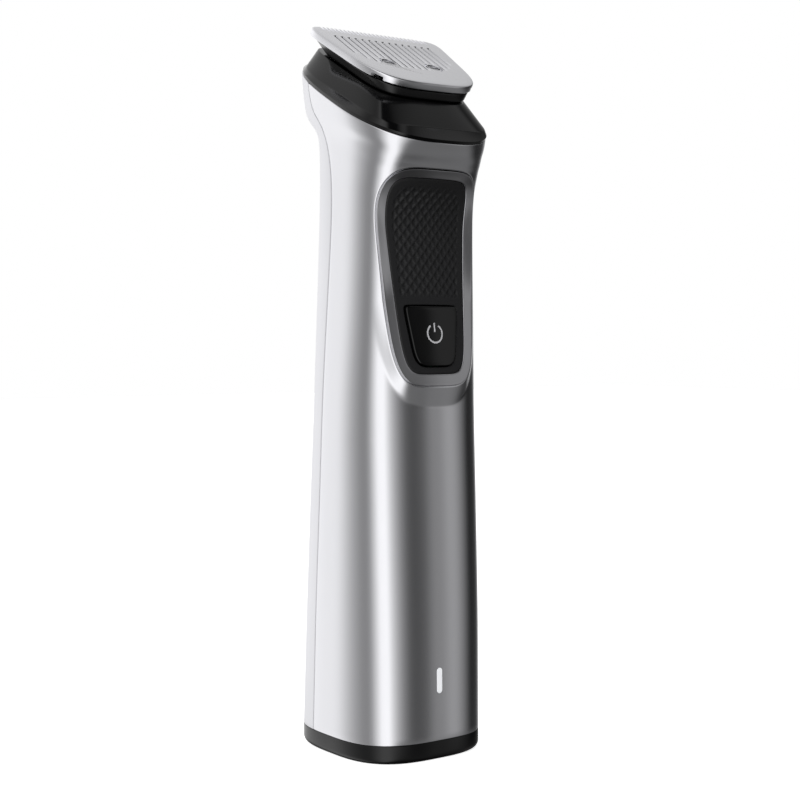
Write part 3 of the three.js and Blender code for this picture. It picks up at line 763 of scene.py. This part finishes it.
def patch_hole():
    """(t, height) along the bezel's outline, each point facing its point of the patch's sides."""
    corner = np.radians([227, 313, 405, 495, 587])
    angles = np.concatenate([
        np.linspace(a, b, n, endpoint=False)
        for a, b, n in zip(corner, corner[1:], (ACROSS, UP, ACROSS, UP))
    ])
    hole = outline_at(BEZEL, angles, OPENING_EDGE)
    u, angle, _ = front_at(hole[:, 0], hole[:, 1])
    seam = seam_angle(u, FRONT_SHIFT)
    t = (np.mod(angle, 2 * math.pi) - math.pi + seam) / (math.pi + 2 * seam)
    return t, np.interp(u, TABLE_U, TABLE_HEIGHT)


def front_shell():
    """A band below the panel, and round the panel a patch whose rings run from its edge out to
    the seams and the rim."""
    t_out, h_out = patch_sides()
    t_in, h_in = patch_hole()
    growth = np.exp(RING_CROWDING * np.linspace(0, 1, OUT)) - 1
    steps = growth / (math.exp(RING_CROWDING) - 1)
    rings = [front_surface(t_in + f * (t_out - t_in), h_in + f * (h_out - h_in)) for f in steps]
    points = list(np.concatenate(rings))
    faces = strip(ring_numbers(rings))

    # The band below shares its top row with the patch's lower side.
    outer = (OUT - 1) * len(t_out)
    rows = [list(range(outer, outer + ACROSS + 1))]
    for height in np.linspace(BAND_SPLIT, SHELL_FOOT, 50)[1:]:
        rows.append(list(range(len(points), len(points) + ACROSS + 1)))
        points += list(front_surface(np.linspace(0, 1, ACROSS + 1), np.full(ACROSS + 1, height)))
    faces += strip(rows, closed=False)
    points = np.array(points)
    a, b, c, d = points[list(faces[0])]
    if np.cross(c - a, d - b)[1] > 0:
        faces = [tuple(reversed(f)) for f in faces]
    solid = thick_shell(points, faces, lambda x, z: recess_y(x, z) + OPENING_DEPTH)
    piece("front_shell_skin", solid, "metal_shell", "handle", "front_shell", sharp=60)


def back_shell():
    """The back half, from one seam round to the other."""
    t = np.linspace(0, 1, 90)
    rows = []
    for height in np.linspace(SHELL_FOOT, TABLE_HEIGHT[-1], 130):
        u = np.full_like(t, level(height))
        seam = seam_angle(u, BACK_SHIFT)
        rows.append(handle_point(seam + t * (math.pi - 2 * seam), u))
    solid = thick_shell(np.concatenate(rows), strip(ring_numbers(rows), closed=False))
    piece("back_shell_skin", solid, "silver_shell", "handle", "back_shell", sharp=60)


def base_ring(inset, z):
    """The outline of the handle's foot, moved in by the inset, at the height z."""
    angle = np.linspace(0, 2 * math.pi, 200, endpoint=False)
    return handle_point(angle, np.zeros_like(angle), inset, z - SHELL_FOOT)


def base_cap():
    """The cap with its spigot, a rounded lower edge and a hole for the charging inlet."""
    top = SHELL_FOOT - CAP_GAP
    keys = [base_ring(CAP_SPIGOT_INSET, CAP_SPIGOT_TOP), base_ring(CAP_SPIGOT_INSET, top),
            base_ring(0, top)]
    for angle in np.linspace(0, math.pi / 2, 9):
        inset, z = CAP_ROUNDING * (1 - math.cos(angle)), CAP_ROUNDING * (1 - math.sin(angle))
        keys.append(base_ring(inset, z))
    keys += [base_ring(inset, 0) for inset in (4, 7, 11)]
    radii = [0.05, 0.25] + [0] * (len(keys) - 4)
    cap = piece("base_cap_moulding", skin(rounded(keys, radii)), "satin_black", "handle", "base_cap")
    cut(cap, [rounded_box(*INLET, -1, 12, 0.8)])


def panel_point(xz, depth):
    """Points of a front-view outline at a depth behind the recess surface."""
    return np.column_stack([xz[:, 0], recess_y(xz[:, 0], xz[:, 1]) + depth, xz[:, 1]])


def panel_bezel():
    """A ring that stands level with the shell outside and drops to the grip panel inside."""
    outer, inner = outline(BEZEL, 320, -BEZEL_GAP), outline(GRIP, 320, 0.05)
    shell_y = front_at(outer[:, 0], outer[:, 1])[2]
    rise = np.minimum(0, shell_y - recess_y(outer[:, 0], outer[:, 1])) - BEZEL_PROUD
    keys = [panel_point(outer, PANEL_DEPTH)]
    for f in (0, 0.2, 0.4, 0.6, 0.8, 1):
        depth = rise * (1 - f) ** BEZEL_SLOPE + 0.04 * f
        keys.append(panel_point(outer + f * (inner - outer), depth))
    keys.append(panel_point(inner, PANEL_DEPTH))
    rings = rounded(keys, [0.2, 0, 0, 0, 0, 0.18])
    piece("panel_bezel_ring", loop_skin(rings), "satin_grey", "handle", "panel_bezel")


def grip_relief(x, z):
    """How deep the panel dips between raised lines that cross in diamonds."""
    a, b = x / DIAMOND[0], z / DIAMOND[1]
    away = np.minimum(0.5 - np.abs((a + b) % 1 - 0.5), 0.5 - np.abs((a - b) % 1 - 0.5))
    dip = np.clip((away - 0.03) / 0.3, 0, 1)
    edge = outline_level(shrunk(GRIP, 1.5), x, z)
    fade = np.clip((1 - edge) / 0.06, 0, 1) * np.clip((z - RELIEF_START) / 0.8, 0, 1)
    return RELIEF * dip * fade


def grip_panel():
    """A pad whose front is a fine grid, trimmed to its outline and opened for the button."""
    side, rise = GRIP["width"] + GRIP["taper"] + 0.1, GRIP["half"] + 1
    low, high = GRIP["centre"] - rise, GRIP["centre"] + rise
    grid_x, grid_z = np.meshgrid(np.arange(-side, side, GRIP_STEP), np.arange(low, high, GRIP_STEP))
    rim = np.clip((outline_level(GRIP, grid_x, grid_z) - 0.965) / 0.035, 0, 1)
    button = np.clip((1.075 - outline_level(BUTTON, grid_x, grid_z)) / 0.045, 0, 1)
    edge = np.maximum(rim, button)
    depth = GRIP_SINK + GRIP_EDGE * (1 - np.sqrt(np.maximum(0, 1 - edge ** 2)))
    recess = recess_y(grid_x, grid_z)
    front = np.stack([grid_x, recess + depth + grip_relief(grid_x, grid_z), grid_z], -1)
    back = np.stack([grid_x, recess + PANEL_DEPTH, grid_z], -1)
    numbers = np.arange(grid_x.size).reshape(grid_x.shape)
    faces = strip(numbers.tolist(), closed=False)
    faces += [tuple(reversed([i + grid_x.size for i in f])) for f in faces]
    border = (list(numbers[0]) + list(numbers[1:, -1]) + list(numbers[-1, -2::-1])
              + list(numbers[-2:0:-1, 0]))
    behind = [i + grid_x.size for i in border]
    faces += [tuple(reversed(f)) for f in strip([border, behind])]
    solid = np.concatenate([front.reshape(-1, 3), back.reshape(-1, 3)]), faces
    grip = piece("grip_panel_pad", solid, "soft_grip", "handle", "grip_panel", sharp=70)
    cut(grip, [prism(outline(GRIP, 200), -30, 0)], "INTERSECT", sharp=70)
    cut(grip, [prism(outline(BUTTON, 160, 0.3), -30, 0)], sharp=70)


def power_button():
    """A tapered key with a rounded edge and a nearly flat face."""
    edge = outline(BUTTON, 200)
    centre = np.array([0, BUTTON["centre"]])
    keys = [panel_point(edge, 2.0), panel_point(edge, -BUTTON_PROUD)]
    for size in (0.86, 0.7, 0.5, 0.3, 0.12, 0.02):
        keys.append(panel_point(centre + (edge - centre) * size, -BUTTON_PROUD - 0.02))
    rings = rounded(keys, [0.35] + [0] * 5)
    piece("power_button_cap", skin(rings), "gloss_black", "button", "power_button")


def printed_line(path):
    """A thin solid line along a front-view path, just proud of the button."""
    path = np.asarray(path, float)
    way = np.gradient(path, axis=0)
    way /= np.linalg.norm(way, axis=1, keepdims=True)
    side = np.column_stack([way[:, 1], -way[:, 0]]) * SYMBOL_LINE
    edge = np.concatenate([path + side, (path - side)[::-1]])
    front, back = panel_point(edge, -BUTTON_PROUD - 0.035), panel_point(edge, -0.3)
    count = len(edge)
    faces = []
    for i in range(count // 2 - 1):
        j = count - 1 - i
        faces.append((i, i + 1, j - 1, j))
        faces.append((j + count, j - 1 + count, i + 1 + count, i + count))
    for i in range(count):
        j = (i + 1) % count
        faces.append((j, i, i + count, j + count))
    return np.concatenate([front, back]), faces


def power_symbol():
    """The generic power sign: an open ring and a bar, printed on the button."""
    sweep = np.radians(np.linspace(90 + SYMBOL_OPENING, 450 - SYMBOL_OPENING, 60))
    ring = np.column_stack([SYMBOL_RADIUS * np.cos(sweep),
                            SYMBOL_Z + SYMBOL_RADIUS * np.sin(sweep)])
    bar = [[0, SYMBOL_Z + rise] for rise in (0.35, 1.3, 2.35)]
    solid = merged([printed_line(ring), printed_line(bar)])
    piece("power_symbol", solid, "light_window", "button", material="symbol_ink")


def capsule(radius, height, centre_z):
    """A front-view outline with straight sides and round ends."""
    angle = np.linspace(0, 2 * math.pi, 48, endpoint=False)
    lift = np.where(np.sin(angle) >= 0, 1, -1) * (height / 2 - radius)
    return np.column_stack([radius * np.cos(angle), centre_z + lift + radius * np.sin(angle)])


def light_window():
    """A small lens that follows the shell's front."""
    edge = capsule(WINDOW_RADIUS, WINDOW_HEIGHT, WINDOW_Z)
    centre = np.array([0, WINDOW_Z])

    def at(xz, depth):
        y = front_at(xz[:, 0], xz[:, 1])[2] + depth
        return np.column_stack([xz[:, 0], y, xz[:, 1]])

    keys = [at(edge, 2.0), at(edge, -0.02)]
    keys += [at(centre + (edge - centre) * s, -0.03) for s in (0.7, 0.4, 0.03)]
    rings = rounded(keys, [0.15, 0, 0])
    piece("light_window_lens", skin(rings), "light_window", "handle", "light_window")


# ------------------------------------------------------------------ head


def head_ring(shape, z, offset=0.0, place=from_head):
    """The outline, grown by the offset, at a height above the rim."""
    xy = outline(shrunk(shape, -offset))
    return place(np.column_stack([xy, np.full(len(xy), z)]))


def blade_ring(shape, z, offset=0.0):
    """The same in the blade's own frame."""
    return head_ring(shape, z, offset, place=from_blade)


def head_collar():
    """The collar: a spigot in the shells, a band over the rim, and a slope up to the throat."""
    keys = [
        head_ring(THROAT, COLLAR_FOOT, 0.9),
        head_ring(RIM_EDGE, COLLAR_FOOT, -4.2),
        head_ring(RIM_EDGE, CAP_GAP, -2.0),
        head_ring(RIM_EDGE, CAP_GAP, -0.1),
        head_ring(RIM_EDGE, 0.9, -0.02),
        head_ring(BAND_EDGE, BAND_TOP),
        head_ring(COLLAR_EDGE, COLLAR_TOP),
        head_ring(THROAT, COLLAR_TOP, 0.1),
        head_ring(THROAT, COLLAR_TOP - 1),
        head_ring(THROAT, COLLAR_FOOT),
    ]
    radii = [0.3, 0.2, 0.25, 0, 0.25, 0.2, 0.2, 0]
    piece("head_collar_moulding", loop_skin(rounded(keys, radii)), "gloss_black", "handle",
          "head_collar")


def head_housing():
    """The head's body: a hollow spigot that flares out to the deck under the blades."""
    keys = [
        head_ring(THROAT, SPIGOT_FOOT, -THROAT_GAP),
        head_ring(THROAT, COLLAR_TOP, -THROAT_GAP),
        head_ring(HOUSING_BASE, COLLAR_TOP + CAP_GAP, -0.6),
        head_ring(HOUSING_BASE, COLLAR_TOP + 0.4),
        blade_ring(HOUSING_DECK, HOUSING_TOP),
        blade_ring(HOUSING_DECK, HOUSING_TOP, -1),
        blade_ring(HOUSING_DECK, HOUSING_TOP, -4),
    ]
    radii = [0, 0.2, 0.4, 0.35, 0]
    body = piece("head_housing_moulding", skin(rounded(keys, radii)), "satin_black", "head",
                 "head_housing")
    channel = skin([head_ring(THROAT, z, -THROAT_GAP - SPIGOT_WALL) for z in (-2, 7.7)])
    tray = blade_block(*TRAY, TRAY_FLOOR, CUT_TOP, 0.5, (0, TRAY_Y))
    bores = [blade_block(2.2, 2.2, 6, CUT_TOP, 1.09, (side * SCREW_X, SCREW_Y))
             for side in (-1, 1)]
    cut(body, [channel, merged([tray] + bores)])


def blade_block(width, depth, z0, z1, radius, centre, steps=4):
    """A prism with rounded corners, square to the steel plate."""
    points, faces = rounded_box(width, depth, z0, z1, radius, centre, steps)
    return from_blade(points), faces


def slot_front(x):
    """Where the comb slot at x starts: on an arc that bends round the two screws."""
    arc = -4.8 + 5.5 * abs(x / 13.2) ** 4
    clear = SCREW_CLEARANCE ** 2 - (abs(x) - SCREW_X) ** 2
    return max(arc, SCREW_Y + math.sqrt(clear)) if clear > 0 else arc


def slot_cutter(x):
    """A cutter for the comb slot at x, with chamfered upper edges."""
    front, over = slot_front(x), 0.1
    levels = ((0, CUT_FOOT), (0, PLATE_TOP - SLOT_CHAMFER), (SLOT_CHAMFER + over, PLATE_TOP + over))
    rings = []
    for grow, z in levels:
        corners = rounded_corners(SLOT_WIDTH + 2 * grow, SLOT_BACK - front + 2 * grow,
                                  SLOT_RADIUS + grow, (x, (SLOT_BACK + front) / 2))
        rings.append(np.column_stack([corners, np.full(len(corners), z)]))
    points, faces = skin(rings)
    return from_blade(points), faces


def crescent(x, y, middle):
    """A shallow ring segment round (x, y) about the bearing middle."""
    sweep = np.radians(np.linspace(middle - CRESCENT_SPREAD, middle + CRESCENT_SPREAD, 13))
    rim = np.array([(x + r * np.cos(a), y + r * np.sin(a))
                    for r, line in ((CRESCENT_OUTER, sweep), (CRESCENT_INNER, sweep[::-1]))
                    for a in line])
    points, faces = skin([np.column_stack([rim, np.full(len(rim), z)])
                          for z in (PLATE_TOP - 0.4, CUT_TOP)])
    return from_blade(points), faces


def guard_blade():
    """A pressed steel plate: a turned-down flange, comb slots, fine teeth at the back, and
    seats for two screws."""
    under = PLATE_TOP - PLATE_THICKNESS
    foot = PLATE_TOP - FLANGE_DEPTH
    keys = [
        blade_ring(PLATE, under, -5),
        blade_ring(PLATE, under, -PLATE_THICKNESS),
        blade_ring(PLATE, foot, -PLATE_THICKNESS),
        blade_ring(PLATE, foot, 0),
        blade_ring(PLATE, PLATE_TOP, 0),
        blade_ring(PLATE, PLATE_TOP, -1.4),
        blade_ring(PLATE, PLATE_TOP, -5),
    ]
    radii = [0.15, 0.12, 0.12, 0.4, 0]
    blade = piece("guard_blade_plate", skin(rounded(keys, radii)), "blade_steel", "head",
                  "guard_blade", sharp=30)
    through, seats = [], []
    below = [blade_block(*EDGE_RELIEF, CUT_FOOT, under, 0.3, (0, EDGE_RELIEF_Y))]
    for i in range(SLOTS):
        through.append(slot_cutter((i - (SLOTS - 1) / 2) * SLOT_PITCH))
    for i in range(TEETH):
        x = (i - (TEETH - 1) / 2) * TOOTH_PITCH
        through.append(blade_block(TOOTH_GAP, TOOTH_CUT, CUT_FOOT, CUT_TOP, 0.25,
                                   (x, TOOTH_ROOT + TOOTH_CUT / 2)))
    for side in (-1, 1):
        x = side * SCREW_X
        through.append(blade_block(2 * SEAT_RADIUS, 2 * SEAT_RADIUS, CUT_FOOT, CUT_TOP,
                                   SEAT_RADIUS - 0.01, (x, SCREW_Y), 8))
        for middle in (160, -20):
            seats.append(crescent(x, SCREW_Y, middle))
        below.append(blade_block(*NOTCH, CUT_FOOT, PLATE_TOP - 0.8, 0.3,
                                 (side * NOTCH_X, NOTCH_Y)))
    cut(blade, [merged(through), merged(below), merged(seats)], sharp=30)


def blade_screw(side, word):
    """A low cheese-head screw with a straight slot."""
    x = side * SCREW_X
    angle = np.linspace(0, 2 * math.pi, 64, endpoint=False)
    rings = [np.column_stack([x + radius * np.cos(angle), SCREW_Y + radius * np.sin(angle),
                              np.full(64, z)])
             for radius, z in ((0.78, 7.6), (0.8, PLATE_TOP - 0.75), (1.36, PLATE_TOP - 0.75),
                               (1.36, PLATE_TOP - 0.2), (0.9, PLATE_TOP - 0.16),
                               (0.05, PLATE_TOP - 0.15))]
    points, faces = skin(rounded(rings, [0.03, 0.05, 0.16, 0.05]))
    screw = piece("blade_screw_head_" + word, (from_blade(points), faces), "plain_steel", "head",
                  "blade_screw_" + word)
    cut(screw, [blade_block(3.4, 0.42, PLATE_TOP - 0.5, CUT_TOP, 0.02, (x, SCREW_Y))])


# ------------------------------------------------------------------ studio

# Light round the horizon: bearing in degrees from the back, towards the right, and how bright it
# is there.
HORIZON = [
    (-180, 0.28), (-169, 0.5), (-157, 0.85), (-149, 1.2), (-131, 1.15), (-120, 0.78),
    (-106, 0.36), (-96, 0.26), (-82, 0.29), (-67, 0.41), (-56, 0.55), (-47, 0.72),
    (-37, 0.98), (-25, 1.05), (15, 1.05), (45, 0.6), (72, 0.05), (98, 0.015), (107, 0.03),
    (116, 0.12), (126, 0.26), (133, 0.38), (141, 0.42), (145, 0.1), (158, 0.07),
    (167, 0.1), (175, 0.2), (180, 0.28),
]
# The same high up, where the black collar and the blade look.
HIGH_RING = [
    (-180, 0.01), (-168, 0.05), (-150, 0.9), (-131, 1.1), (-106, 0.6), (-82, 0.45),
    (-47, 0.7), (-25, 0.9), (15, 0.9), (45, 0.65), (70, 0.3), (92, 0.1), (102, 0.45),
    (114, 0.4), (126, 0.2), (138, 0.02), (155, 0.01), (180, 0.01),
]
WHITE = (1, 1, 1, 1)

# In metres and watts.
FLOOR_SIZE = 4.0
FLOOR_GLOW = 0.82
LAMP_SIZE = (0.9, 0.6)
LAMP_PLACE = (-0.45, -0.35, 0.75)
LAMP_TARGET = (0, 0, 0.09)
LAMP_POWER = 5

# In millimetres and degrees; the bearing is counted from the front towards the left.
CAMERA_PLACE = (-208.36, -290.01, 93.62)
CAMERA_BEARING = 36.0
CAMERA_DIP = 2.233
CAMERA_LENS = 69.75


class WorldNodes(NodeTree):
    """The nodes of the light that surrounds the scene."""

    def math(self, operation, first, second):
        node = self.add("ShaderNodeMath", operation=operation)
        self.link(first, node.inputs[0])
        self.link(second, node.inputs[1])
        return node.outputs[0]

    def blend(self, factor, first, second):
        """From the first light to the second, which may be a plain number."""
        node = self.add("ShaderNodeMix", data_type="FLOAT")
        self.link(factor, node.inputs["Factor"])
        self.link(first, node.inputs["A"])
        if isinstance(second, float):
            node.inputs["B"].default_value = second
        else:
            self.link(second, node.inputs["B"])
        return node.outputs["Result"]

    def light_round(self, share, listed):
        """The listed lights, looked up by the share of a full turn."""
        ramp = self.add("ShaderNodeValToRGB")
        stops = ramp.color_ramp.elements
        while len(stops) > 1:
            stops.remove(stops[0])
        for k, (bearing, light) in enumerate(listed):
            place = (bearing + 180) / 360
            stop = stops[0] if k == 0 else stops.new(place)
            stop.position = place
            stop.color = (light, light, light, 1)
        self.link(share, ramp.inputs["Fac"])
        return ramp.outputs["Color"]


def surroundings():
    """Soft light from all round, and plain white where the camera looks past the object."""
    world = bpy.data.worlds.new("studio")
    bpy.context.scene.world = world
    world.use_nodes = True
    nodes = WorldNodes(world.node_tree)
    where = nodes.add("ShaderNodeTexCoord")
    way = nodes.add("ShaderNodeSeparateXYZ")
    nodes.link(where.outputs["Generated"], way.inputs["Vector"])
    x, y, z = way.outputs
    share = nodes.ranged(nodes.math("ARCTAN2", x, y), 0, 1, -math.pi, math.pi)

    def smooth(value, low, high, start, end):
        return nodes.ranged(value, start, end, low, high, "SMOOTHSTEP")

    light = nodes.blend(smooth(z, 0.3, 0.55, 0, 1), nodes.light_round(share, HORIZON),
                        nodes.light_round(share, HIGH_RING))
    # Below the horizon the right-hand side is an even grey, and nearly black deep down.
    right = smooth(x, -0.4, 0, 0, 1)
    low, deep = smooth(z, -0.5, -0.2, 1, 0), smooth(z, -0.8, -0.6, 1, 0)
    light = nodes.blend(nodes.math("MULTIPLY", low, right), light, 0.15)
    light = nodes.blend(nodes.math("MULTIPLY", deep, right), light, 0.03)
    # Overhead the light is dimmer.
    light = nodes.math("MULTIPLY", light, smooth(z, 0.6, 1, 1, 0.7))

    around = world.node_tree.nodes["Background"]
    around.inputs["Color"].default_value = WHITE
    nodes.link(light, around.inputs["Strength"])
    behind = nodes.add("ShaderNodeBackground", Color=WHITE)
    path = nodes.add("ShaderNodeLightPath")
    mix = nodes.add("ShaderNodeMixShader")
    nodes.link(path.outputs["Is Camera Ray"], mix.inputs["Fac"])
    nodes.link(around.outputs["Background"], mix.inputs[1])
    nodes.link(behind.outputs["Background"], mix.inputs[2])
    nodes.link(mix.outputs["Shader"], world.node_tree.nodes["World Output"].inputs["Surface"])


def floor():
    """A pale paper floor."""
    bpy.ops.mesh.primitive_grid_add(x_subdivisions=8, y_subdivisions=8, size=FLOOR_SIZE)
    paper = bpy.context.object
    paper.name = "floor"
    nodes = Nodes("floor_paper")
    grain = nodes.noise((400, 400, 400), detail=2)
    color = nodes.tint(grain, (0.86, 0.86, 0.86), (0.9, 0.9, 0.9))
    rough = nodes.ranged(grain, 0.8, 0.9)
    nodes.glow((1, 1, 1), FLOOR_GLOW)
    paper.data.materials.append(nodes.finish(color, rough))
    paper.visible_glossy = False
    paper.visible_diffuse = False


def softbox():
    """One soft lamp above the left front."""
    data = bpy.data.lights.new("overhead_softbox", "AREA")
    data.shape = "RECTANGLE"
    data.size, data.size_y = LAMP_SIZE
    data.energy = LAMP_POWER
    lamp = bpy.data.objects.new("overhead_softbox", data)
    MAIN.objects.link(lamp)
    lamp.location = LAMP_PLACE
    way = Vector(LAMP_TARGET) - lamp.location
    lamp.rotation_euler = way.to_track_quat("-Z", "Y").to_euler()
    lamp.visible_glossy = False


def camera():
    """The photograph's viewing angle."""
    data = bpy.data.cameras.new("camera")
    data.sensor_width = 36
    data.lens = CAMERA_LENS
    data.clip_start = 0.01
    data.clip_end = 20
    thing = bpy.data.objects.new("camera", data)
    MAIN.objects.link(thing)
    thing.location = Vector(CAMERA_PLACE) * MM
    thing.rotation_euler = (math.radians(90 - CAMERA_DIP), 0, -math.radians(CAMERA_BEARING))
    bpy.context.scene.camera = thing


# ------------------------------------------------------------------ build

camera()
dress_frame()
front_shell()
back_shell()
base_cap()
panel_bezel()
grip_panel()
power_button()
power_symbol()
light_window()
head_collar()
head_housing()
guard_blade()
blade_screw(-1, "left")
blade_screw(1, "right")
surroundings()
floor()
softbox()
bpy.context.scene.view_settings.view_transform = "Standard"
